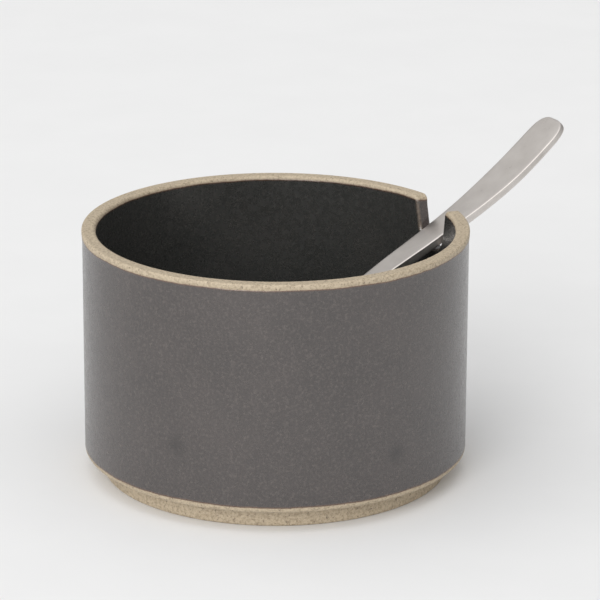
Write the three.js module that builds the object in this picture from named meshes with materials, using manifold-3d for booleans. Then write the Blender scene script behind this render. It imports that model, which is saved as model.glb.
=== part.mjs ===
// A stoneware sugar bowl with a spoon notch in its rim, and the steel spoon that leans in the notch.
// Millimetres, +Z up. The origin is the centre of the foot's underside, and +X points at the notch.
import * as THREE from 'three';
import { mergeVertices } from 'three/addons/utils/BufferGeometryUtils.js';
import Module from 'manifold-3d';

// The bowl: one fired piece, a straight wall on a foot that is turned in
const WALL_RADIUS = 42.45;
const LIP_RADIUS = 42.6;
const LIP_HEIGHT = 3;
const BOWL_HEIGHT = 55.6;
const INNER_RADIUS = 39.45;
const FOOT_RADIUS = 38.3;
const FOOT_HEIGHT = 4.4;
const FLOOR_THICKNESS = 5.5;
const CORNER_RADIUS = 8;
const FOOT_EDGE_RADIUS = 0.5;
const WALL_EDGE_RADIUS = 1.2;
const RIM_OUTER_RADIUS = 0.4;
const RIM_INNER_RADIUS = 0.8;
const TURNS = 96;
const EDGE_STEPS = 4;
const CORNER_STEPS = 8;

// The notch: a U whose sides lean out, with its two top corners rounded over
const NOTCH_BOTTOM_RADIUS = 5.5;
const NOTCH_FLOOR = 45;
const NOTCH_SIDE_ANGLE = THREE.MathUtils.degToRad(12);
const NOTCH_CORNER_RADIUS = 1.5;
const NOTCH_STEPS = 8;
const CUT_INNER_X = 34;
const CUT_OUTER_X = 47;
const CUT_TOP = BOWL_HEIGHT + 3;

// The spoon: its top face's middle line, from the tip of its bowl to the end of its handle, as x and z
const SPOON_LINE = new THREE.SplineCurve([
  new THREE.Vector2(-36, 8.05),
  new THREE.Vector2(-16, 18.2),
  new THREE.Vector2(4, 28.9),
  new THREE.Vector2(24, 40.5),
  new THREE.Vector2(39.5, 48.9),
  new THREE.Vector2(50, 55),
  new THREE.Vector2(60, 62),
  new THREE.Vector2(71.1, 71.5),
]);
const SPOON_LENGTH = SPOON_LINE.getLength();

// Distances along the spoon from its tip
const WIDEST_AT = 20;
const NECK_AT = 54;
const END_ROUND_LENGTH = 6.5;
const DISH_LENGTH = 44;

// Half widths of the spoon: the scoop's widest, then the handle's at even steps from the neck to its end
const SCOOP_HALF_WIDTH = 12.5;
const NECK_HALF_WIDTH = 2.3;
const HANDLE_HALF_WIDTHS = [NECK_HALF_WIDTH, 3.4, 4.2, 5.45, 5.5];
const HANDLE_EDGE = new THREE.SplineCurve(
  HANDLE_HALF_WIDTHS.map((halfWidth, step) => new THREE.Vector2(step, halfWidth)),
);
const END_SHAPE = 2.7;

// Thickness of the steel at the scoop, the neck and the handle's end
const SCOOP_THICKNESS = 1.1;
const NECK_THICKNESS = 2.2;
const END_THICKNESS = 1.3;

// The scoop's hollow: its depth, and two powers that move it towards the tip and soften where it begins
const DISH_DEPTH = 5;
const DISH_TOWARDS_TIP = 0.8;
const DISH_SOFTENING = 1.2;

// The spoon's cross-section, a bar with rounded edges, and how finely its skin is divided
const UPPER_EDGE_RADIUS = 0.3;
const LOWER_EDGE_RADIUS = 0.5;
const FACE_STEPS = 6;
const ROUND_STEPS = 2;

// Rings along the spoon: from TIP_START to its widest, on to the neck, along the handle and round its end
const TIP_STEPS = 9;
const SCOOP_STEPS = 12;
const HANDLE_STEPS = 20;
const END_STEPS = 7;
const TIP_START = 0.15;

const wasm = await Module();
wasm.setup();

// Points on an arc about a centre, with both of its ends
function arc(centreX, centreY, radius, fromDegrees, toDegrees, steps) {
  const points = [];
  for (let i = 0; i <= steps; i += 1) {
    const angle = THREE.MathUtils.degToRad(THREE.MathUtils.lerp(fromDegrees, toDegrees, i / steps));
    points.push(new THREE.Vector2(centreX + radius * Math.cos(angle), centreY + radius * Math.sin(angle)));
  }
  return points;
}

// Half of the bowl's upright section, from the underside's centre round to the floor's centre
function bowlProfile() {
  const wallFoot = FOOT_HEIGHT + WALL_EDGE_RADIUS;
  const rimOuter = BOWL_HEIGHT - RIM_OUTER_RADIUS;
  const rimInner = BOWL_HEIGHT - RIM_INNER_RADIUS;
  const cornerX = INNER_RADIUS - CORNER_RADIUS;
  return [
    new THREE.Vector2(0, 0),
    ...arc(FOOT_RADIUS - FOOT_EDGE_RADIUS, FOOT_EDGE_RADIUS, FOOT_EDGE_RADIUS, -90, 0, EDGE_STEPS),
    new THREE.Vector2(FOOT_RADIUS, FOOT_HEIGHT),
    ...arc(WALL_RADIUS - WALL_EDGE_RADIUS, wallFoot, WALL_EDGE_RADIUS, -90, 0, EDGE_STEPS),
    new THREE.Vector2(WALL_RADIUS, BOWL_HEIGHT - LIP_HEIGHT),
    ...arc(LIP_RADIUS - RIM_OUTER_RADIUS, rimOuter, RIM_OUTER_RADIUS, 0, 90, EDGE_STEPS),
    ...arc(INNER_RADIUS + RIM_INNER_RADIUS, rimInner, RIM_INNER_RADIUS, 90, 180, EDGE_STEPS),
    ...arc(cornerX, FLOOR_THICKNESS + CORNER_RADIUS, CORNER_RADIUS, 0, -90, CORNER_STEPS),
    new THREE.Vector2(0, FLOOR_THICKNESS),
  ];
}

// The notch's outline seen from outside the bowl: x is across the notch, y is height
function notchShape() {
  const centre = NOTCH_FLOOR + NOTCH_BOTTOM_RADIUS;
  const sideStart = new THREE.Vector2(
    NOTCH_BOTTOM_RADIUS * Math.cos(NOTCH_SIDE_ANGLE),
    centre - NOTCH_BOTTOM_RADIUS * Math.sin(NOTCH_SIDE_ANGLE),
  );
  const cornerCentreY = BOWL_HEIGHT - NOTCH_CORNER_RADIUS;
  const cornerTouchY = cornerCentreY + NOTCH_CORNER_RADIUS * Math.sin(NOTCH_SIDE_ANGLE);
  const cornerTouchX = sideStart.x + (cornerTouchY - sideStart.y) * Math.tan(NOTCH_SIDE_ANGLE);
  const cornerCentreX = cornerTouchX + NOTCH_CORNER_RADIUS * Math.cos(NOTCH_SIDE_ANGLE);
  const lean = NOTCH_SIDE_ANGLE;
  const shape = new THREE.Shape();
  shape.moveTo(cornerCentreX, CUT_TOP);
  shape.lineTo(-cornerCentreX, CUT_TOP);
  shape.lineTo(-cornerCentreX, BOWL_HEIGHT);
  shape.absarc(-cornerCentreX, cornerCentreY, NOTCH_CORNER_RADIUS, Math.PI / 2, lean, true);
  shape.absarc(0, centre, NOTCH_BOTTOM_RADIUS, Math.PI + lean, 2 * Math.PI - lean, false);
  shape.absarc(cornerCentreX, cornerCentreY, NOTCH_CORNER_RADIUS, Math.PI - lean, Math.PI / 2, true);
  return shape;
}

// A closed three.js geometry as a manifold solid
function toSolid(geometry) {
  const bare = geometry.clone();
  bare.deleteAttribute('normal');
  bare.deleteAttribute('uv');
  const merged = mergeVertices(bare);
  return new wasm.Manifold(new wasm.Mesh({
    numProp: 3,
    vertProperties: merged.attributes.position.array,
    triVerts: merged.index.array,
  }));
}

// A manifold solid back as a three.js geometry
function toGeometry(solid) {
  const mesh = solid.getMesh();
  const geometry = new THREE.BufferGeometry();
  geometry.setAttribute('position', new THREE.BufferAttribute(mesh.vertProperties, 3));
  geometry.setIndex(new THREE.BufferAttribute(mesh.triVerts, 1));
  geometry.computeVertexNormals();
  return geometry;
}

// Widens a cutter with its distance from the Z axis, so that its sides lie along the bowl's radii
function spreadOutwards(cutter, trueWidthAt) {
  const { position } = cutter.attributes;
  for (let i = 0; i < position.count; i += 1) {
    position.setY(i, position.getY(i) * (position.getX(i) / trueWidthAt));
  }
}

// The bowl is turned about Z, then the notch is cut through the wall along X
function bowlGeometry() {
  const turned = new THREE.LatheGeometry(bowlProfile(), TURNS);
  turned.rotateX(Math.PI / 2);
  const cutter = new THREE.ExtrudeGeometry(notchShape(), {
    depth: CUT_OUTER_X - CUT_INNER_X,
    bevelEnabled: false,
    curveSegments: NOTCH_STEPS,
  });
  cutter.applyMatrix4(new THREE.Matrix4().makeBasis(
    new THREE.Vector3(0, 1, 0),
    new THREE.Vector3(0, 0, 1),
    new THREE.Vector3(1, 0, 0),
  ));
  cutter.translate(CUT_INNER_X, 0, 0);
  spreadOutwards(cutter, (WALL_RADIUS + INNER_RADIUS) / 2);
  return toGeometry(toSolid(turned).subtract(toSolid(cutter)));
}

// Half of the spoon's width at a distance from its tip
function spoonHalfWidth(distance) {
  if (distance < WIDEST_AT) {
    return SCOOP_HALF_WIDTH * Math.sqrt(1 - (1 - distance / WIDEST_AT) ** 2);
  }
  if (distance < NECK_AT) {
    const share = (distance - WIDEST_AT) / (NECK_AT - WIDEST_AT);
    return THREE.MathUtils.lerp(SCOOP_HALF_WIDTH, NECK_HALF_WIDTH, (1 - Math.cos(Math.PI * share)) / 2);
  }
  const share = (distance - NECK_AT) / (SPOON_LENGTH - NECK_AT);
  const straight = HANDLE_EDGE.getPoint(share).y;
  const intoEnd = Math.max(0, (distance - (SPOON_LENGTH - END_ROUND_LENGTH)) / END_ROUND_LENGTH);
  return straight * (1 - intoEnd ** END_SHAPE) ** (1 / END_SHAPE);
}

// The steel's thickness at a distance from the tip
function spoonThickness(distance) {
  if (distance < NECK_AT) {
    const share = THREE.MathUtils.smoothstep(distance, WIDEST_AT, NECK_AT);
    return THREE.MathUtils.lerp(SCOOP_THICKNESS, NECK_THICKNESS, share);
  }
  return THREE.MathUtils.mapLinear(distance, NECK_AT, SPOON_LENGTH, NECK_THICKNESS, END_THICKNESS);
}

// How far the scoop's middle sinks below its edge
function dishDepth(distance) {
  if (distance > DISH_LENGTH) {
    return 0;
  }
  const share = (distance / DISH_LENGTH) ** DISH_TOWARDS_TIP;
  return DISH_DEPTH * Math.sin(Math.PI * share) ** DISH_SOFTENING;
}

// A flat bar's outline with rounded edges: x is across, and y runs down from 0 at its upper face
function barOutline(halfWidth, thickness) {
  const upper = Math.min(UPPER_EDGE_RADIUS, halfWidth / 2);
  const lower = Math.min(LOWER_EDGE_RADIUS, halfWidth / 2);
  const upperRound = arc(halfWidth - upper, -upper, upper, 0, 90, ROUND_STEPS);
  const lowerRound = arc(halfWidth - lower, lower - thickness, lower, -90, 0, ROUND_STEPS);
  const mirror = (point) => new THREE.Vector2(-point.x, point.y);
  const outline = [...upperRound];
  for (let i = 1; i < FACE_STEPS; i += 1) {
    outline.push(new THREE.Vector2((halfWidth - upper) * (1 - (2 * i) / FACE_STEPS), 0));
  }
  outline.push(...upperRound.map(mirror).reverse());
  outline.push(...lowerRound.map(mirror).reverse());
  for (let i = 1; i < FACE_STEPS; i += 1) {
    outline.push(new THREE.Vector2((halfWidth - lower) * ((2 * i) / FACE_STEPS - 1), -thickness));
  }
  outline.push(...lowerRound);
  return outline;
}

// One ring of points round the spoon, square to its middle line and sunk in the middle by the scoop
function spoonRing(distance) {
  const share = distance / SPOON_LENGTH;
  const middle = SPOON_LINE.getPointAt(share);
  const along = SPOON_LINE.getTangentAt(share);
  const halfWidth = spoonHalfWidth(distance);
  const depth = dishDepth(distance);
  return barOutline(halfWidth, spoonThickness(distance)).map((point) => {
    const up = point.y - depth * (1 - (point.x / halfWidth) ** 2);
    return new THREE.Vector3(middle.x - along.y * up, point.x, middle.y + along.x * up);
  });
}

// Distances at which the spoon has a ring, closer together towards both ends
function spoonStations() {
  const stations = [];
  for (let i = 0; i < TIP_STEPS; i += 1) {
    const share = 1 - Math.cos((Math.PI / 2) * (i / TIP_STEPS));
    stations.push(THREE.MathUtils.lerp(TIP_START, WIDEST_AT, share));
  }
  for (let i = 0; i < SCOOP_STEPS; i += 1) {
    stations.push(THREE.MathUtils.lerp(WIDEST_AT, NECK_AT, i / SCOOP_STEPS));
  }
  const endStart = SPOON_LENGTH - END_ROUND_LENGTH;
  for (let i = 0; i < HANDLE_STEPS; i += 1) {
    stations.push(THREE.MathUtils.lerp(NECK_AT, endStart, i / HANDLE_STEPS));
  }
  for (let i = 0; i < END_STEPS; i += 1) {
    stations.push(endStart + END_ROUND_LENGTH * Math.sin((Math.PI / 2) * (i / END_STEPS)));
  }
  return stations;
}

// A closed skin over rings of equal length, each end closed by a fan to its own middle
function skin(rings) {
  const count = rings[0].length;
  const points = rings.flat();
  const faces = [];
  for (let r = 0; r + 1 < rings.length; r += 1) {
    for (let i = 0; i < count; i += 1) {
      const a = r * count + i;
      const b = r * count + ((i + 1) % count);
      faces.push(a, b, a + count);
      faces.push(b, b + count, a + count);
    }
  }
  const ends = [rings[0], rings[rings.length - 1]];
  ends.forEach((ring, end) => {
    const middle = new THREE.Vector3();
    ring.forEach((point) => middle.addScaledVector(point, 1 / count));
    const hub = points.length;
    points.push(middle);
    const first = end * (rings.length - 1) * count;
    for (let i = 0; i < count; i += 1) {
      const a = first + i;
      const b = first + ((i + 1) % count);
      faces.push(...(end === 0 ? [b, a, hub] : [a, b, hub]));
    }
  });
  const geometry = new THREE.BufferGeometry().setFromPoints(points);
  geometry.setIndex(faces);
  geometry.computeVertexNormals();
  return geometry;
}

function part(name, geometry, material) {
  const mesh = new THREE.Mesh(geometry, material);
  mesh.name = name;
  return mesh;
}

const glaze = new THREE.MeshStandardMaterial({ color: 0x4a4846, roughness: 0.45, metalness: 0 });
const steel = new THREE.MeshStandardMaterial({ color: 0xb9b2ac, roughness: 0.35, metalness: 1 });

const group = new THREE.Group();
group.add(part('bowl', bowlGeometry(), glaze));
group.add(part('spoon', skin(spoonStations().map(spoonRing)), steel));

export default group;
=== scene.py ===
# %% [markdown]
# # A stoneware sugar bowl and the spoon that leans in its notch
# The bowl is one fired piece: a straight wall on a turned-in foot, glazed dark and satin, with the
# rim and the foot left as bare clay. The spoon is one piece of steel. Both were drawn first as a plain
# solid model, which this lesson loads as its frame, so every size below answers to it.

# %% Load the frame
import math

import bmesh
import bpy
import numpy as np
from mathutils import Matrix, Vector


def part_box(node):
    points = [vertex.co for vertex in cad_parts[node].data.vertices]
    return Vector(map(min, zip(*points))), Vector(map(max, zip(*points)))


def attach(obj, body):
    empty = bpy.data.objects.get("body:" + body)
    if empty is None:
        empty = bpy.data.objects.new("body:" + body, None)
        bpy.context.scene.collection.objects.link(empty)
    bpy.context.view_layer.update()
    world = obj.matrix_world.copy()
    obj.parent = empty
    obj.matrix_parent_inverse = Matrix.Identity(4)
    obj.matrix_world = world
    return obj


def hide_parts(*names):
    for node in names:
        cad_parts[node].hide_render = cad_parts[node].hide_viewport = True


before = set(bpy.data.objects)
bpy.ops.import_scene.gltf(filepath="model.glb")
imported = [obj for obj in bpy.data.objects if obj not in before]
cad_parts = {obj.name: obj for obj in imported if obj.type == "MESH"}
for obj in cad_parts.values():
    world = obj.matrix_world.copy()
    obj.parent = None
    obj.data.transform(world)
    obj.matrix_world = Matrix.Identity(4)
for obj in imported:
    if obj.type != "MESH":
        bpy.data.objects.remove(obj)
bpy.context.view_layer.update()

# %% [markdown]
# The frame is in metres, but a potter thinks in millimetres. All shapes below are worked out in
# millimetres and scaled once, when a mesh is made.

# %% Sizes that come from the frame
MM = 0.001
bowl_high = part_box("bowl")[1]
LIP_RADIUS = bowl_high.y / MM
BOWL_HEIGHT = bowl_high.z / MM
print("lip radius", round(LIP_RADIUS, 2), "mm, height", round(BOWL_HEIGHT, 2), "mm")

# %% [markdown]
# Rounded edges are short arcs seen in section. One helper gives the points of an arc, and it is used
# for the foot, the notch, the inside corner and the spoon's edges.

# %% Helper: points on an arc
def arc(centre_x, centre_y, radius, start, stop, steps):
    angles = np.radians(np.linspace(start, stop, steps + 1))
    return np.column_stack([centre_x + radius * np.cos(angles), centre_y + radius * np.sin(angles)])


print("an arc of 4 steps has", len(arc(0, 0, 1, 0, 90, 4)), "points")

# %% [markdown]
# The bowl's section is what a potter's template would be cut to: a foot ring turned in under the
# wall, a soft edge where the wall begins, and a rounded corner between the wall and the floor. A
# lathe could sweep it in one go, but the notch in the rim would then have to be cut out, which
# leaves ragged edges. Here the section is split: the lower rings are plain circles, and only the
# rings near the rim bend round the notch. A ring close beside a sharp corner keeps its shading crisp.

# %% The bowl's section below the notch
WALL_RADIUS = 42.45
INNER_RADIUS = 39.45
FOOT_RADIUS = 38.3
FOOT_HEIGHT = 4.4
FLOOR_THICKNESS = 5.5
CORNER_RADIUS = 8
FOOT_EDGE = 0.5
WALL_EDGE = 1.2
PLAIN_TOP = 36
NEXT_TO_CORNER = 0.15

outer_section = np.vstack([
    [[8, 0], [20, 0], [32, 0], [37.5, 0]],
    arc(FOOT_RADIUS - FOOT_EDGE, FOOT_EDGE, FOOT_EDGE, -90, 0, 5),
    [[FOOT_RADIUS, 2.5], [FOOT_RADIUS, FOOT_HEIGHT - NEXT_TO_CORNER], [FOOT_RADIUS, FOOT_HEIGHT]],
    [[FOOT_RADIUS + NEXT_TO_CORNER, FOOT_HEIGHT], [40, FOOT_HEIGHT]],
    [[WALL_RADIUS - WALL_EDGE - NEXT_TO_CORNER, FOOT_HEIGHT]],
    arc(WALL_RADIUS - WALL_EDGE, FOOT_HEIGHT + WALL_EDGE, WALL_EDGE, -90, 0, 7),
    [[WALL_RADIUS, z] for z in (5.8, 8, 12, 18, 24, 30, PLAIN_TOP)],
])
inner_section = np.vstack([
    [[INNER_RADIUS, z] for z in (PLAIN_TOP, 30, 24, 19, 15, 13.8)],
    arc(INNER_RADIUS - CORNER_RADIUS, FLOOR_THICKNESS + CORNER_RADIUS, CORNER_RADIUS, 0, -90, 14),
    [[r, FLOOR_THICKNESS] for r in (31, 26, 20, 13, 6, 2)],
])
print("section rings:", len(outer_section), "outside,", len(inner_section), "inside")

# %% [markdown]
# The notch is a U cut through the wall while the clay was soft: a round bottom, sides that lean
# out, and top corners that roll over into the rim. Imagine the wall unrolled flat. The rim's edge is
# then one line that starts at the notch's bottom, climbs its side, rolls over the corner and runs level
# to the far side of the bowl. Bending that line back round the wall gives the notch with clean edges.

# %% The rim's line round the notch
MID_RADIUS = (WALL_RADIUS + INNER_RADIUS) / 2
NOTCH_RADIUS = 5.5
NOTCH_FLOOR = 45
NOTCH_LEAN = 12
NOTCH_CORNER = 1.5
BOTTOM_STEPS = 26
SIDE_STEPS = 8
CORNER_STEPS = 12
RIM_STEP = 1.15

lean = math.radians(NOTCH_LEAN)
bottom_centre = NOTCH_FLOOR + NOTCH_RADIUS
side_low = np.array([NOTCH_RADIUS * math.cos(lean), bottom_centre - NOTCH_RADIUS * math.sin(lean)])
corner_z = BOWL_HEIGHT - NOTCH_CORNER
side_high_z = corner_z + NOTCH_CORNER * math.sin(lean)
side_high = np.array([side_low[0] + (side_high_z - side_low[1]) * math.tan(lean), side_high_z])
corner_y = side_high[0] + NOTCH_CORNER * math.cos(lean)

bottom = arc(0, bottom_centre, NOTCH_RADIUS, -90, -NOTCH_LEAN, BOTTOM_STEPS)
side = side_low + (side_high - side_low) * np.linspace(0, 1, SIDE_STEPS + 1)[1:-1, None]
corner = arc(corner_y, corner_z, NOTCH_CORNER, 180 - NOTCH_LEAN, 90, CORNER_STEPS)
notch_line = np.vstack([bottom, side, corner])
notch_line[:, 0] = MID_RADIUS * np.arctan(notch_line[:, 0] / MID_RADIUS)

half_turn = math.pi * MID_RADIUS
level_count = round((half_turn - notch_line[-1, 0]) / RIM_STEP)
level_y = np.linspace(notch_line[-1, 0], half_turn, level_count + 1)[1:]
level = np.column_stack([level_y, np.full(level_count, BOWL_HEIGHT)])
half_line = np.vstack([notch_line, level])
print("half of the rim line:", len(half_line), "points, of which", len(notch_line), "in the notch")

# %% [markdown]
# Each point of the line also gets a direction that points out of the clay, which later steers the
# rounding of the edges. In the round parts that direction is simply the arc's own angle. The second
# half of the rim is the first half mirrored, so the notch comes out the same on both sides.

# %% Which way is out of the clay, and the whole rim line
bottom_out = -arc(0, 0, 1, -90, -NOTCH_LEAN, BOTTOM_STEPS)
side_out = np.tile([-math.cos(lean), math.sin(lean)], (len(side), 1))
corner_out = arc(0, 0, 1, 180 - NOTCH_LEAN, 90, CORNER_STEPS)
level_out = np.tile([0.0, 1.0], (level_count, 1))
half_out = np.vstack([bottom_out, side_out, corner_out, level_out])

mirror = np.array([-1, 1])
rim_line = np.vstack([half_line, half_line[-2:0:-1] * mirror])
rim_out = np.vstack([half_out, half_out[-2:0:-1] * mirror])
print("rim line:", len(rim_line), "points, notch", NOTCH_FLOOR, "to", round(BOWL_HEIGHT, 1), "mm high")

# %% [markdown]
# Lower down the wall, the same columns of points have to stand evenly again. Their places on the
# plain rings come from how far along the rim's line each point lies, squeezed into the same width.

# %% Where each column stands on the plain rings
SPREAD = 25
along_line = np.concatenate([[0], np.cumsum(np.linalg.norm(np.diff(half_line, axis=0), axis=1))])
corner_index = len(notch_line) - 1
spread_length = along_line[corner_index] + SPREAD - half_line[corner_index, 0]
half_plain = np.where(along_line < spread_length, along_line * SPREAD / spread_length, half_line[:, 0])
plain_y = np.concatenate([half_plain, -half_plain[-2:0:-1]])
print("columns:", len(plain_y))

# %% [markdown]
# Every ring of the bowl is a row of points at some height and distance from the axis. These helpers
# bend a flat row round the wall, move the rim's line into the clay, and blend from a plain level ring
# up to the notched edge. The wall also swells very slightly just under the rim.

# %% Helpers: rings of the wall
SWELL_START = 52.6
RIM_OUTER = 0.4


def outside_radius(z):
    share = np.clip((z - SWELL_START) / (BOWL_HEIGHT - RIM_OUTER - SWELL_START), 0, 1)
    return WALL_RADIUS + (LIP_RADIUS - WALL_RADIUS) * share * share * (3 - 2 * share)


def ring(y, z, radius):
    angle = y / MID_RADIUS
    return np.column_stack([radius * np.cos(angle), radius * np.sin(angle), z])


def below_rim(distance):
    return rim_line - rim_out * distance


def plain_ring(radius, z):
    return ring(plain_y, np.full(len(plain_y), float(z)), radius)


def blend_row(edge, share):
    return edge[:, 0] * share + plain_y * (1 - share), edge[:, 1] * share + PLAIN_TOP * (1 - share)


print("the wall swells by", round(LIP_RADIUS - WALL_RADIUS, 2), "mm from", SWELL_START, "mm up")

# %% [markdown]
# Fired stoneware has no sharp edge anywhere. The outer edge of the rim is rounded by less than half a
# millimetre, and the glaze softens the notch's outer edge in the same way. Glaze draws back from an edge
# while it melts, so the rings that round the edge also note how thin the glaze lies there.

# %% Rings of the outside, from the foot to the rim
BLEND_ROWS = 15
OUTER_SUPPORT = 0.3
OUTER_ROUND_STEPS = 5
OUTER_EDGE_THIN = 0.4

columns = np.arange(len(rim_line))
steps_from_notch = np.minimum(columns, len(columns) - columns)
in_notch = (steps_from_notch < len(notch_line)) * 1.0
thin_glaze_on = {}
rings = [plain_ring(r, z) for r, z in outer_section]
outer_edge = below_rim(RIM_OUTER + OUTER_SUPPORT)
for row in range(1, BLEND_ROWS + 1):
    y, z = blend_row(outer_edge, math.sin(row / BLEND_ROWS * math.pi / 2))
    rings.append(ring(y, z, outside_radius(z)))
for angle in np.radians(np.linspace(0, 90, OUTER_ROUND_STEPS + 1)):
    y, z = below_rim(RIM_OUTER * (1 - math.sin(angle))).T
    thin_glaze_on[len(rings)] = in_notch * math.sin(2 * angle) * OUTER_EDGE_THIN
    rings.append(ring(y, z, outside_radius(z) - RIM_OUTER * (1 - math.cos(angle))))
print("rings up to the rim:", len(rings))

# %% [markdown]
# The rim's top is level, and its inner edge is rounded twice as much as the outer one. The rings then
# run down the inside wall, round the corner and in to the floor.

# %% Rings of the inside, from the rim to the floor
RIM_INNER = 0.8
INNER_SUPPORT = 0.2
INNER_ROUND_STEPS = 7

crest_inner = INNER_RADIUS + RIM_INNER
for share in (0.1, 0.5, 0.9):
    y, z = rim_line.T
    outer = outside_radius(z) - RIM_OUTER
    rings.append(ring(y, z, outer + (crest_inner - outer) * share))
for angle in np.radians(np.linspace(90, 0, INNER_ROUND_STEPS + 1)):
    y, z = below_rim(RIM_INNER * (1 - math.sin(angle))).T
    thin_glaze_on[len(rings)] = in_notch * math.sin(2 * angle)
    rings.append(ring(y, z, crest_inner - RIM_INNER * math.cos(angle)))
inner_edge = below_rim(RIM_INNER + INNER_SUPPORT)
for row in range(BLEND_ROWS, 0, -1):
    y, z = blend_row(inner_edge, math.sin(row / BLEND_ROWS * math.pi / 2))
    rings.append(ring(y, z, INNER_RADIUS))
rings += [plain_ring(r, z) for r, z in inner_section]
print("bowl rings:", len(rings), "of", len(rings[0]), "points")

# %% [markdown]
# Both pieces are now stacks of rings. One helper stitches neighbouring rings with four-sided faces,
# closes each end with a fan to a middle point, and smooths the shading. Building the faces by hand
# keeps every edge where it was planned, which no ready-made primitive would.

# %% Helper: a closed skin over rings
def skin(name, ring_list, first_middle, last_middle):
    form = bmesh.new()
    rows = [[form.verts.new(point * MM) for point in points] for points in ring_list]
    for lower, upper in zip(rows, rows[1:]):
        for i in range(len(lower)):
            j = (i + 1) % len(lower)
            form.faces.new((lower[i], lower[j], upper[j], upper[i]))
    for row, middle in ((rows[0], first_middle), (rows[-1], last_middle)):
        hub = form.verts.new(np.array(middle) * MM)
        for i in range(len(row)):
            form.faces.new((row[i], row[(i + 1) % len(row)], hub))
    bmesh.ops.recalc_face_normals(form, faces=form.faces)
    mesh = bpy.data.meshes.new(name)
    form.to_mesh(mesh)
    form.free()
    mesh.shade_smooth()
    piece = bpy.data.objects.new(name, mesh)
    bpy.context.scene.collection.objects.link(piece)
    print(name, "has", len(mesh.polygons), "faces")
    return piece


print("helper ready: skin")

# %% [markdown]
# The bowl is now one call. How thin the glaze lies is stored on the mesh's own points, because a
# material can read such a note back, and it stays with the piece wherever the piece moves.

# %% The bowl
bowl = skin("stoneware_bowl", rings, (0, 0, 0), (0, 0, FLOOR_THICKNESS))
thin_values = np.zeros(len(bowl.data.vertices))
for index, values in thin_glaze_on.items():
    thin_values[index * len(values):(index + 1) * len(values)] = values
thin_note = bowl.data.attributes.new("thin_glaze", "FLOAT", "POINT")
thin_note.data.foreach_set("value", thin_values)
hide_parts("bowl")
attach(bowl, "bowl")
print("bowl made of", len(rings), "rings")

# %% [markdown]
# The spoon starts as a bent line: the middle of its upper face, seen from the side. It runs from the
# tip of the scoop, a hair above the bowl's floor, through the notch to the end of the handle. A
# smooth spline through a few places gives the gentle bow of the handle, and walking along it by
# distance lets every width and thickness be given where a smith would measure it.

# %% The spoon's middle line
LINE_PLACES = np.array([
    [-36, 8.05], [-16, 18.2], [4, 28.9], [24, 40.5], [39.5, 48.9], [50, 55], [60, 62], [71.1, 71.5],
])
LINE_SAMPLES = 4001


def spline(places, where):
    padded = np.vstack([places[:1], places, places[-1:]])
    index = np.minimum(where.astype(int), len(places) - 2)
    t = (where - index)[:, None]
    before, here, after, beyond = (padded[index + k] for k in range(4))
    leaving, arriving = (after - before) / 2, (beyond - here) / 2
    cubic = 2 * here - 2 * after + leaving + arriving
    square = -3 * here + 3 * after - 2 * leaving - arriving
    return ((cubic * t + square) * t + leaving) * t + here


line_points = spline(LINE_PLACES, np.linspace(0, len(LINE_PLACES) - 1, LINE_SAMPLES))
line_distance = np.concatenate([[0], np.cumsum(np.linalg.norm(np.diff(line_points, axis=0), axis=1))])
SPOON_LENGTH = line_distance[-1]
print("spoon length", round(SPOON_LENGTH, 1), "mm")

# %% [markdown]
# From above, the scoop is an oval that narrows in one sweep to the neck. The handle then widens again
# towards a full, softly squared end. One formula for each stretch keeps the outline smooth, where
# points placed by hand would show as small bumps along the edge.

# %% Width along the spoon
TIP = 0.15
END_INSET = 0.17
END = SPOON_LENGTH - END_INSET
WIDEST_AT = 20
NECK_AT = 54
SCOOP_HALF_WIDTH = 12.5
HANDLE_HALF_WIDTHS = np.array([[0, 2.3], [1, 3.4], [2, 4.2], [3, 5.45], [4, 5.5]])
END_LENGTH = 6.5
END_SHAPE = 3.2


def half_width(distance):
    if distance < WIDEST_AT:
        share = (distance - TIP) / (WIDEST_AT - TIP)
        return SCOOP_HALF_WIDTH * math.sqrt(max(0, 1 - (1 - share) ** 2))
    if distance < NECK_AT:
        share = (distance - WIDEST_AT) / (NECK_AT - WIDEST_AT)
        ease = (1 - math.cos(math.pi * share)) / 2
        return SCOOP_HALF_WIDTH + (HANDLE_HALF_WIDTHS[0, 1] - SCOOP_HALF_WIDTH) * ease
    share = (distance - NECK_AT) / (SPOON_LENGTH - NECK_AT) * (len(HANDLE_HALF_WIDTHS) - 1)
    straight = spline(HANDLE_HALF_WIDTHS, np.array([share]))[0, 1]
    into_end = min(1, max(0, (distance - (END - END_LENGTH)) / END_LENGTH))
    return straight * (1 - into_end ** END_SHAPE) ** (1 / END_SHAPE)


print("handle end", round(2 * half_width(END - END_LENGTH), 1), "mm wide")

# %% [markdown]
# The steel is thin in the scoop and thickest at the neck, where it has to be stiff, and it thins again
# towards the end of the handle. The scoop is dished: deepest a little towards the tip, and fading out
# before the neck.

# %% Thickness and hollow along the spoon
SCOOP_THICKNESS = 1.1
NECK_THICKNESS = 2.2
HANDLE_THINNING = 0.9
DISH_LENGTH = 44
DISH_DEPTH = 5
DISH_TOWARDS_TIP = 0.8
DISH_SOFTENING = 1.2


def thickness(distance):
    share = min(1, max(0, (distance - WIDEST_AT) / (NECK_AT - WIDEST_AT)))
    if distance < NECK_AT:
        return SCOOP_THICKNESS + (NECK_THICKNESS - SCOOP_THICKNESS) * share * share * (3 - 2 * share)
    return NECK_THICKNESS - HANDLE_THINNING * (distance - NECK_AT) / (SPOON_LENGTH - NECK_AT)


def hollow(distance):
    if distance > DISH_LENGTH:
        return 0
    return DISH_DEPTH * math.sin(math.pi * (distance / DISH_LENGTH) ** DISH_TOWARDS_TIP) ** DISH_SOFTENING


print("steel", SCOOP_THICKNESS, "mm thick in the scoop and", NECK_THICKNESS, "mm at the neck")

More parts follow.
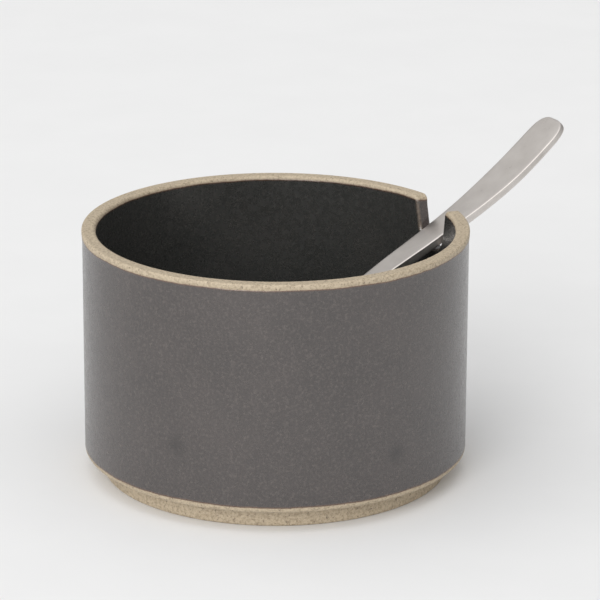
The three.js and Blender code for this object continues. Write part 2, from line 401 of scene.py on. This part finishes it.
# %% [markdown]
# A finished spoon is polished after it is shaped, so its edges are soft, and the upper edge catches the
# light as a fine bright line. Each ring is a flat bar's outline with rounded edges and slightly slanted
# sides. Close to both ends, the faces also roll over towards the end.

# %% The bar's outline
UPPER_EDGE = 0.3
LOWER_EDGE = 0.5
SIDE_SLANT = 0.32
SIDE_KNEE = 0.32
EDGE_STEPS = 5
FACE_STEPS = 14


def rolled(distance, radius):
    near_end = min(distance - TIP, END - distance)
    if near_end > radius:
        return 0
    return radius - math.sqrt(max(0, radius ** 2 - (radius - near_end) ** 2))


def bar_outline(half, thick, upper_roll, lower_roll):
    upper, lower = min(UPPER_EDGE, half / 2), min(LOWER_EDGE, half / 2)
    slant = min(SIDE_SLANT, half / 4)
    top = arc(half - slant - upper, -upper, upper, 0, 90, EDGE_STEPS)
    base = np.vstack([arc(half - lower, lower - thick, lower, -90, 0, EDGE_STEPS),
                      [[half - slant, -thick * SIDE_KNEE]]])
    across = np.linspace(1, -1, FACE_STEPS + 1)[1:-1]
    top_face = np.column_stack([across * (half - slant - upper), np.zeros(len(across))])
    base_face = np.column_stack([-across * (half - lower), np.full(len(across), -thick)])
    outline = np.vstack([top, top_face, (top * mirror)[::-1], (base * mirror)[::-1], base_face, base])
    outline[:, 1] = np.clip(outline[:, 1], lower_roll - thick, -upper_roll)
    return outline


print("points round the bar:", len(bar_outline(SCOOP_HALF_WIDTH, NECK_THICKNESS, 0, 0)))

# %% [markdown]
# Each outline stands square to the spoon's line at its own place. In the scoop, its middle is sunk by the
# hollow, most at the middle and not at all at the edges. Places stand closer together towards the tip
# and the end, where the outline turns fastest.

# %% The spoon
STEP_FOR_DIRECTION = 0.1
LEAST_HALF_WIDTH = 0.02
TIP_STEPS = 30
SCOOP_STEPS = 34
HANDLE_STEPS = 43
END_STEPS = 25


def place_at(distance):
    return np.array([np.interp(distance, line_distance, line_points[:, k]) for k in (0, 1)])


def spoon_ring(distance):
    x, z = place_at(distance)
    ahead = place_at(min(distance + STEP_FOR_DIRECTION, SPOON_LENGTH))
    behind = place_at(max(distance - STEP_FOR_DIRECTION, 0))
    along = (ahead - behind) / np.linalg.norm(ahead - behind)
    half = max(half_width(distance), LEAST_HALF_WIDTH)
    rolls = rolled(distance, UPPER_EDGE), rolled(distance, LOWER_EDGE)
    outline = bar_outline(half, thickness(distance), *rolls)
    up = outline[:, 1] - hollow(distance) * (1 - (outline[:, 0] / half) ** 2)
    return np.column_stack([x - along[1] * up, outline[:, 0], z + along[0] * up])


tip_part = TIP + (WIDEST_AT - TIP) * (1 - np.cos(np.linspace(0, math.pi / 2, TIP_STEPS + 1)))
scoop_part = np.linspace(WIDEST_AT, NECK_AT, SCOOP_STEPS + 1)[1:]
handle_part = np.linspace(NECK_AT, END - END_LENGTH, HANDLE_STEPS + 1)[1:]
end_part = END - END_LENGTH + END_LENGTH * np.sin(np.linspace(0, math.pi / 2, END_STEPS + 1))[1:]
stations = np.concatenate([tip_part, scoop_part, handle_part, end_part])
spoon_rings = [spoon_ring(distance) for distance in stations]
spoon = skin("steel_spoon", spoon_rings, spoon_rings[0].mean(axis=0), spoon_rings[-1].mean(axis=0))
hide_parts("spoon")
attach(spoon, "spoon")
print("spoon made of", len(spoon_rings), "rings")

# %% [markdown]
# A material in Blender is a small network of nodes. Most of these helpers add one node, and their names
# say in a word what it does, so that the recipes below read like a list of steps. The first three feed
# a socket with a link or a number, do one sum, and stretch one range of numbers over another.

# %% Helpers: nodes that work with numbers
def feed(tree, socket, value):
    if isinstance(value, bpy.types.NodeSocket):
        tree.links.new(value, socket)
    else:
        socket.default_value = value


def calc(tree, operation, *values):
    node = tree.nodes.new("ShaderNodeMath")
    node.operation = operation
    for socket, value in zip(node.inputs, values):
        feed(tree, socket, value)
    return node.outputs[0]


def ramp(tree, value, start, stop, low=0.0, high=1.0, kind="SMOOTHSTEP"):
    node = tree.nodes.new("ShaderNodeMapRange")
    node.interpolation_type = kind
    for name, given in (("Value", value), ("From Min", start), ("From Max", stop),
                        ("To Min", low), ("To Max", high)):
        feed(tree, node.inputs[name], given)
    return node.outputs[0]


print("number helpers ready: feed, calc, ramp")

# %% [markdown]
# The other helpers give a pattern, mix two colours, and turn a height into a bump. Patterns are placed by
# the object's own coordinates, so they stay put when the piece moves. The Mix node has sockets for
# numbers, vectors and colours, and the four numbers below pick out its share and its colour sockets.

# %% Helpers: patterns, colours and bumps
MIX_SHARE = 0
MIX_FIRST = 6
MIX_SECOND = 7
MIX_RESULT = 2
SOFT = (0.3, 0.7)


def noise(tree, place, size, detail=3.0, roughness=0.55):
    node = tree.nodes.new("ShaderNodeTexNoise")
    feed(tree, node.inputs["Vector"], place)
    node.inputs["Scale"].default_value = 1 / (size * MM)
    node.inputs["Detail"].default_value = detail
    node.inputs["Roughness"].default_value = roughness
    return node.outputs["Fac"]


def blend_colour(tree, share, first, second):
    node = tree.nodes.new("ShaderNodeMix")
    node.data_type = "RGBA"
    feed(tree, node.inputs[MIX_SHARE], share)
    for place, value in ((MIX_FIRST, first), (MIX_SECOND, second)):
        feed(tree, node.inputs[place], (*value, 1) if isinstance(value, tuple) else value)
    return node.outputs[MIX_RESULT]


def bump(tree, height, depth, under=None):
    node = tree.nodes.new("ShaderNodeBump")
    node.inputs["Distance"].default_value = depth * MM
    feed(tree, node.inputs["Height"], height)
    if under is not None:
        feed(tree, node.inputs["Normal"], under)
    return node.outputs[0]


def new_material(name):
    material = bpy.data.materials.new(name)
    material.use_nodes = True
    tree = material.node_tree
    place = tree.nodes.new("ShaderNodeTexCoord").outputs["Object"]
    return material, tree, place, tree.nodes["Principled BSDF"]


print("pattern helpers ready, soft contrast", SOFT)

# %% [markdown]
# The potter dips the bowl and wipes the rim and the foot clean, so the glaze ends in two lines that
# waver a little. The line is worked out from height and distance from the axis: above the upper
# line and below the lower one the clay is bare, and the floor inside stays glazed.

# %% Where the stoneware is bare clay
OUTER_LINE = 54.33
INNER_LINE = 54.85
FOOT_LINE = 5.73
UNDERSIDE_LINE = 2.5
FOOT_ZONE_RADIUS = 37.5
SLOW_WAVE = 9
SLOW_WAVER = 0.5
QUICK_WAVE = 1.1
QUICK_WAVER = 0.22
FOOT_ZONE_BLEND = 0.1
GLAZE_LINE_BLUR = 0.06
GLAZE_END_WIDTH = 0.55

stoneware, pot, pot_place, pot_finish = new_material("glazed_stoneware")
pot_axes = pot.nodes.new("ShaderNodeSeparateXYZ")
feed(pot, pot_axes.inputs[0], pot_place)
height = calc(pot, "MULTIPLY", pot_axes.outputs["Z"], 1 / MM)
x_squared = calc(pot, "MULTIPLY", pot_axes.outputs["X"], pot_axes.outputs["X"])
y_squared = calc(pot, "MULTIPLY", pot_axes.outputs["Y"], pot_axes.outputs["Y"])
from_axis = calc(pot, "SQRT", calc(pot, "ADD", x_squared, y_squared))
reach = calc(pot, "MULTIPLY", from_axis, 1 / MM)
slow_noise = calc(pot, "SUBTRACT", noise(pot, pot_place, SLOW_WAVE), 0.5)
slow_waver = calc(pot, "MULTIPLY", slow_noise, SLOW_WAVER)
quick_noise = calc(pot, "SUBTRACT", noise(pot, pot_place, QUICK_WAVE), 0.5)
quick_waver = calc(pot, "MULTIPLY", quick_noise, QUICK_WAVER)
waver = calc(pot, "ADD", slow_waver, quick_waver)
upper_line = ramp(pot, reach, INNER_RADIUS, LIP_RADIUS, INNER_LINE, OUTER_LINE, "LINEAR")
above = calc(pot, "ADD", calc(pot, "SUBTRACT", height, upper_line), waver)
foot_zone = (FOOT_ZONE_RADIUS - FOOT_ZONE_BLEND, FOOT_ZONE_RADIUS)
lower_line = ramp(pot, reach, *foot_zone, UNDERSIDE_LINE, FOOT_LINE, "LINEAR")
below = calc(pot, "SUBTRACT", calc(pot, "SUBTRACT", lower_line, height), waver)
past_glaze = calc(pot, "MAXIMUM", above, below)
bare = ramp(pot, past_glaze, -GLAZE_LINE_BLUR, GLAZE_LINE_BLUR)
glaze_end = ramp(pot, past_glaze, -GLAZE_END_WIDTH, 0.0)
print("glaze ends", round(BOWL_HEIGHT - OUTER_LINE, 2), "mm below the rim outside")

# %% [markdown]
# Satin glaze is not one grey. It is full of fine paler flecks, drifts slightly between a darker and a
# paler grey, and has faint level streaks from the turning. Inside, where it pools thicker, it is a
# cooler grey, and also paler: that paler tone is painted light that brightens the dim inside of the bowl.
# One noise alone would look like fog, so flecks of two sizes lie over a slow drift.

# %% The glaze's colour
GLAZE_DARK = (0.0258, 0.0188, 0.0168)
GLAZE_PALE = (0.0372, 0.0276, 0.0248)
GLAZE_FLECK = (0.12, 0.098, 0.087)
# The inside glaze colour: a cooler grey that is the glaze's own, made paler as painted light for the dim
# inside of the bowl.
GLAZE_INSIDE_TINT_AND_LIGHT = (0.028, 0.037, 0.0355)
INSIDE_SHARE = 0.5
INSIDE_FADE_START = INNER_RADIUS + 0.2
INSIDE_FADE_STOP = INNER_RADIUS + 1.2
DRIFT_SIZE = 16
FLECK_SIZE = 0.6
FINE_FLECK_SIZE = 0.28
FLECK_SHARE = 0.5
STREAK_HEIGHT = 0.9
STREAK_STRETCH = (0.12, 0.12, 1)
STREAK_SHARE = 0.3

drift = noise(pot, pot_place, DRIFT_SIZE, 5, 0.6)
fleck = ramp(pot, noise(pot, pot_place, FLECK_SIZE, 4, 0.75), 0.46, 0.7, 0.0, FLECK_SHARE)
fine_noise = noise(pot, pot_place, FINE_FLECK_SIZE, 1, 0.5)
fine_fleck = ramp(pot, fine_noise, 0.68, 0.8, 0.0, FLECK_SHARE)
streak_place = pot.nodes.new("ShaderNodeMapping")
feed(pot, streak_place.inputs["Vector"], pot_place)
streak_place.inputs["Scale"].default_value = STREAK_STRETCH
streak_noise = noise(pot, streak_place.outputs[0], STREAK_HEIGHT, 3, 0.6)
streak = ramp(pot, streak_noise, 0.35, 0.75, 0.0, STREAK_SHARE)
glaze = blend_colour(pot, ramp(pot, drift, *SOFT), GLAZE_DARK, GLAZE_PALE)
glaze = blend_colour(pot, streak, glaze, GLAZE_PALE)
glaze = blend_colour(pot, calc(pot, "MAXIMUM", fleck, fine_fleck), glaze, GLAZE_FLECK)
# Partly painted light: the inside is mixed half way to the cooler, paler grey, and the paler part brightens
# the dim inside.
inside = ramp(pot, reach, INSIDE_FADE_START, INSIDE_FADE_STOP, INSIDE_SHARE, 0.0)
glaze = blend_colour(pot, inside, glaze, GLAZE_INSIDE_TINT_AND_LIGHT)
print("glaze colours mixed, flecks", FLECK_SIZE, "and", FINE_FLECK_SIZE, "mm")

# %% [markdown]
# Where the glaze runs thin at its edge, the iron in the clay shows through as a fine red-brown line, and
# on the notch's edges it breaks to a pale brown. The bowl's own note of thin glaze says where. Two faint
# dark marks low on the wall look like places where fingers held the bowl as it was dipped.

# %% Thin edges and finger marks
GLAZE_EDGE = (0.11, 0.05, 0.022)
EDGE_SHARPNESS = 1.6
GLAZE_BROKEN = (0.21, 0.15, 0.105)
BROKEN_PATCH = 0.9
BROKEN_LEAST = 0.25
BROKEN_MOST = 0.65
GLAZE_SMUDGE = (0.009, 0.005, 0.0035)
SMUDGES = ((-35.8, -22.8, 17.8), (7.9, -41.7, 15.1))
SMUDGE_REACH = 3.7
SMUDGE_SHARE = 0.9
SMUDGE_LEAST = 0.6
SMUDGE_PATCH = 0.7
SMUDGE_RAGGED = 9

glaze = blend_colour(pot, calc(pot, "POWER", glaze_end, EDGE_SHARPNESS), glaze, GLAZE_EDGE)
noted = pot.nodes.new("ShaderNodeAttribute")
noted.attribute_name = "thin_glaze"
broken_noise = noise(pot, pot_place, BROKEN_PATCH, 3)
broken_patches = ramp(pot, broken_noise, 0.3, 0.6, BROKEN_LEAST, BROKEN_MOST)
broken = calc(pot, "MULTIPLY", noted.outputs["Fac"], broken_patches)
glaze = blend_colour(pot, broken, glaze, GLAZE_BROKEN)
patchy = ramp(pot, noise(pot, pot_place, SMUDGE_PATCH, 3, 0.6), 0.4, 0.6, SMUDGE_LEAST, 1.0)
ragged_by = calc(pot, "MULTIPLY", slow_waver, SMUDGE_RAGGED * MM)
for x, y, z in SMUDGES:
    gap = pot.nodes.new("ShaderNodeVectorMath")
    gap.operation = "DISTANCE"
    feed(pot, gap.inputs[0], pot_place)
    gap.inputs[1].default_value = (x * MM, y * MM, z * MM)
    ragged = calc(pot, "ADD", gap.outputs["Value"], ragged_by)
    fade = ramp(pot, ragged, SMUDGE_REACH * MM, 0.0, 0.0, SMUDGE_SHARE)
    glaze = blend_colour(pot, calc(pot, "MULTIPLY", fade, patchy), glaze, GLAZE_SMUDGE)
print("edges and", len(SMUDGES), "finger marks added")

# %% [markdown]
# The clay body is a warm beige with a sandy grain, small dark iron specks and a slightly toasted edge
# next to the glaze. It is far duller than the glaze, so the two finishes are told apart by gloss as
# well as by colour.

# %% The clay's colour
CLAY_PALE = (0.50, 0.41, 0.285)
CLAY_DEEP = (0.30, 0.23, 0.145)
CLAY_SPECK = (0.09, 0.055, 0.032)
GRAIN_SIZE = 0.55
SPECK_SIZE = 0.5
SPECK_SHARE = 0.85
TOASTED_WIDTH = 0.5
TOASTED_SHARE = 0.45

grain = noise(pot, pot_place, GRAIN_SIZE, 5, 0.7)
speck = ramp(pot, noise(pot, pot_place, SPECK_SIZE, 2, 0.5), 0.62, 0.7, 0.0, SPECK_SHARE)
toasted = ramp(pot, past_glaze, 0.0, TOASTED_WIDTH, TOASTED_SHARE, 0.0)
clay = blend_colour(pot, ramp(pot, grain, 0.34, 0.6), CLAY_DEEP, CLAY_PALE)
clay = blend_colour(pot, toasted, clay, CLAY_DEEP)
clay = blend_colour(pot, speck, clay, CLAY_SPECK)
feed(pot, pot_finish.inputs["Base Color"], blend_colour(pot, bare, glaze, clay))
print("clay colours mixed")

# %% [markdown]
# Touch tells the rest: the satin glaze has a very fine pebbled skin and stands a hair thicker than the
# clay at its line, and the clay is grainy. Roughness and bump carry both.

# %% How the stoneware feels
SATIN_PATCH = 1.6
SATIN_SMOOTH = 0.22
SATIN_ROUGH = 0.31
CLAY_ROUGH = 0.7
STONEWARE_IOR = 1.92
PEBBLE_SIZE = 0.35
PEBBLE_DEPTH = 0.022
SAND_DEPTH = 0.09
GLAZE_STEP = 0.1

satin_noise = noise(pot, pot_place, SATIN_PATCH, 4, 0.65)
satin = ramp(pot, satin_noise, *SOFT, SATIN_SMOOTH, SATIN_ROUGH)
glaze_part = calc(pot, "MULTIPLY", satin, calc(pot, "SUBTRACT", 1.0, bare))
clay_part = calc(pot, "MULTIPLY", bare, CLAY_ROUGH)
feed(pot, pot_finish.inputs["Roughness"], calc(pot, "ADD", glaze_part, clay_part))
pot_finish.inputs["IOR"].default_value = STONEWARE_IOR
pebbles = bump(pot, noise(pot, pot_place, PEBBLE_SIZE, 2, 0.5), PEBBLE_DEPTH)
grainy = bump(pot, calc(pot, "MULTIPLY", grain, bare), SAND_DEPTH, pebbles)
layered = bump(pot, ramp(pot, past_glaze, -0.12, 0.05, 1.0, 0.0), GLAZE_STEP, grainy)
feed(pot, pot_finish.inputs["Normal"], layered)
bowl.data.materials.append(stoneware)
print("stoneware finish on", bowl.name)

# %% [markdown]
# The spoon is stainless steel with a satin finish. Its mirror is broken by a very fine brushing that
# runs along the spoon, and by soft cloudy patches where the polish differs. Metal has almost no
# colour of its own, so the roughness does most of the work.

# %% The steel
STEEL_PALE = (0.69, 0.65, 0.615)
STEEL_DEEP = (0.62, 0.58, 0.545)
HANDLE_RISE = math.radians(31)
BRUSH_WIDTH = 0.16
BRUSH_STRETCH = (0.05, 1, 0.4)
BRUSH_ROUGH = 0.06
BRUSH_DEPTH = 0.006
CLOUD_SIZE = 6
STEEL_SMOOTH = 0.26
STEEL_ROUGH = 0.34

steel, bar, bar_place, bar_finish = new_material("spoon_steel")
turned = bar.nodes.new("ShaderNodeMapping")
feed(bar, turned.inputs["Vector"], bar_place)
turned.vector_type = "TEXTURE"
turned.inputs["Rotation"].default_value = (0, -HANDLE_RISE, 0)
brushed_place = bar.nodes.new("ShaderNodeMapping")
feed(bar, brushed_place.inputs["Vector"], turned.outputs[0])
brushed_place.inputs["Scale"].default_value = BRUSH_STRETCH
brushing = noise(bar, brushed_place.outputs[0], BRUSH_WIDTH, 3, 0.6)
clouds = noise(bar, bar_place, CLOUD_SIZE, 4, 0.6)
steel_colour = blend_colour(bar, ramp(bar, clouds, *SOFT), STEEL_DEEP, STEEL_PALE)
feed(bar, bar_finish.inputs["Base Color"], steel_colour)
cloud_rough = ramp(bar, clouds, 0.25, 0.75, STEEL_SMOOTH, STEEL_ROUGH)
brush_rough = ramp(bar, brushing, *SOFT, 0.0, BRUSH_ROUGH)
feed(bar, bar_finish.inputs["Roughness"], calc(bar, "ADD", cloud_rough, brush_rough))
bar_finish.inputs["Metallic"].default_value = 1
feed(bar, bar_finish.inputs["Normal"], bump(bar, brushing, BRUSH_DEPTH))
spoon.data.materials.append(steel)
print("steel finish on", spoon.name)

# %% [markdown]
# A maker shows such a piece on plain pale paper. The floor is one wide round sheet, so that the glaze
# has something pale and even to reflect from every side. It is staging, not part of the object.

# %% The floor
FLOOR_RADII = (200, 1000, 3000, 6000)
FLOOR_SIDES = 96


def floor_circle(radius):
    turns = np.linspace(0, 2 * math.pi, FLOOR_SIDES + 1)[:-1]
    return np.column_stack([radius * np.cos(turns), radius * np.sin(turns), np.zeros(FLOOR_SIDES)])


sheet_form = bmesh.new()
sheet_rows = [[sheet_form.verts.new(point * MM) for point in floor_circle(radius)] for radius in FLOOR_RADII]
sheet_form.faces.new(sheet_rows[0])
for near, far in zip(sheet_rows, sheet_rows[1:]):
    for i in range(FLOOR_SIDES):
        j = (i + 1) % FLOOR_SIDES
        sheet_form.faces.new((near[i], far[i], far[j], near[j]))
sheet_mesh = bpy.data.meshes.new("floor")
sheet_form.to_mesh(sheet_mesh)
sheet_form.free()
floor = bpy.data.objects.new("floor", sheet_mesh)
bpy.context.scene.collection.objects.link(floor)
print("floor", round(FLOOR_RADII[-1] * MM * 2), "m across")

# %% [markdown]
# Paper is dull and nearly even. A very faint mottle keeps it from looking like a computed backdrop.

# %% The paper
FLOOR_TONE = 0.82
MOTTLE_SIZE = 30
MOTTLE = 0.006
PAPER_ROUGH = 0.9
PAPER_SHINE = 0.1

paper, sheet, sheet_place, sheet_finish = new_material("pale_paper")
mottle_noise = noise(sheet, sheet_place, MOTTLE_SIZE, 3)
mottle = ramp(sheet, mottle_noise, *SOFT, FLOOR_TONE - MOTTLE, FLOOR_TONE + MOTTLE)
tone = sheet.nodes.new("ShaderNodeCombineColor")
for channel in range(3):
    feed(sheet, tone.inputs[channel], mottle)
feed(sheet, sheet_finish.inputs["Base Color"], tone.outputs[0])
sheet_finish.inputs["Roughness"].default_value = PAPER_ROUGH
sheet_finish.inputs["Specular IOR Level"].default_value = PAPER_SHINE
floor.data.materials.append(paper)
print("paper tone", FLOOR_TONE)

# %% [markdown]
# The camera looks at the bowl from a little above, with a long lens, so that the round rim shows as a
# calm narrow oval. Its place and turn are given in the frame's own axes: a heading round the bowl, a
# downward tilt, and a trace of roll.

# %% The camera
HEADING = math.radians(-27.5)
TILT = math.radians(18.045)
ROLL = math.radians(0.2347)
CAMERA_PLACE = (5.3896, -755.279, 284.607)
LENS = 215.77
SENSOR_WIDTH = 36
NEAR_LIMIT = 0.01

turn_to_frame = Matrix.Rotation(HEADING, 3, "Z")
ahead = turn_to_frame @ Vector((0, math.cos(TILT), -math.sin(TILT)))
level_right = turn_to_frame @ Vector((1, 0, 0))
level_up = level_right.cross(ahead)
right = level_right * math.cos(ROLL) + level_up * math.sin(ROLL)
up = level_up * math.cos(ROLL) - level_right * math.sin(ROLL)
camera_data = bpy.data.cameras.new("camera")
camera_data.sensor_width = SENSOR_WIDTH
camera_data.lens = LENS
camera_data.clip_start = NEAR_LIMIT
camera = bpy.data.objects.new("camera", camera_data)
bpy.context.scene.collection.objects.link(camera)
turn = Matrix((right, up, -ahead)).transposed().to_4x4()
camera.matrix_world = Matrix.Translation(turn_to_frame @ Vector(CAMERA_PLACE) * MM) @ turn
bpy.context.scene.camera = camera
print("camera at", [round(v, 3) for v in camera.matrix_world.translation])

# %% [markdown]
# Soft light in a room with one bright side is not the same from everywhere. The sky here is pale all
# round and brightest behind the camera's left shoulder, so the round wall turns gently from light to
# dark and only a faint shadow falls behind the bowl on the right.

# %% The sky
BRIGHT_SIDE = math.radians(40)
BRIGHT_RISE = math.radians(50)
SKY_BASE = 0.40
SKY_GLOW = 1.0


def from_camera_side(side, rise):
    back = -ahead.xy.to_3d().normalized()
    level = back * math.cos(side) - level_right * math.sin(side)
    return level * math.cos(rise) + Vector((0, 0, math.sin(rise)))


sky = bpy.data.worlds.new("pale_sky")
sky.use_nodes = True
air = sky.node_tree
facing = air.nodes.new("ShaderNodeVectorMath")
facing.operation = "DOT_PRODUCT"
feed(air, facing.inputs[0], air.nodes.new("ShaderNodeTexCoord").outputs["Generated"])
facing.inputs[1].default_value = from_camera_side(BRIGHT_SIDE, BRIGHT_RISE)
glow = calc(air, "MULTIPLY", calc(air, "MAXIMUM", facing.outputs["Value"], 0.0), SKY_GLOW)
feed(air, air.nodes["Background"].inputs["Strength"], calc(air, "ADD", glow, SKY_BASE))
air.nodes["Background"].inputs["Color"].default_value = (1, 1, 1, 1)
bpy.context.scene.world = sky
print("sky from", SKY_BASE, "to", SKY_BASE + SKY_GLOW)

# %% [markdown]
# One large lamp stands low on the same side. It reaches under the turned-in foot and into the far
# inside of the bowl, which the sky alone leaves too dim.

# %% The lamp
LAMP_SIDE = math.radians(19)
LAMP_RISE = math.radians(27)
LAMP_REACH = 3.0
LAMP_SIZE = 1.6
LAMP_POWER = 30

lamp_way = from_camera_side(LAMP_SIDE, LAMP_RISE)
lamp_data = bpy.data.lights.new("soft_lamp", "AREA")
lamp_data.shape = "DISK"
lamp_data.size = LAMP_SIZE
lamp_data.energy = LAMP_POWER
lamp = bpy.data.objects.new("soft_lamp", lamp_data)
bpy.context.scene.collection.objects.link(lamp)
lamp.location = lamp_way * LAMP_REACH
lamp.rotation_euler = lamp_way.to_track_quat("Z", "Y").to_euler()
bpy.context.scene.view_settings.view_transform = "Standard"
print("lamp at", [round(v, 2) for v in lamp.location])
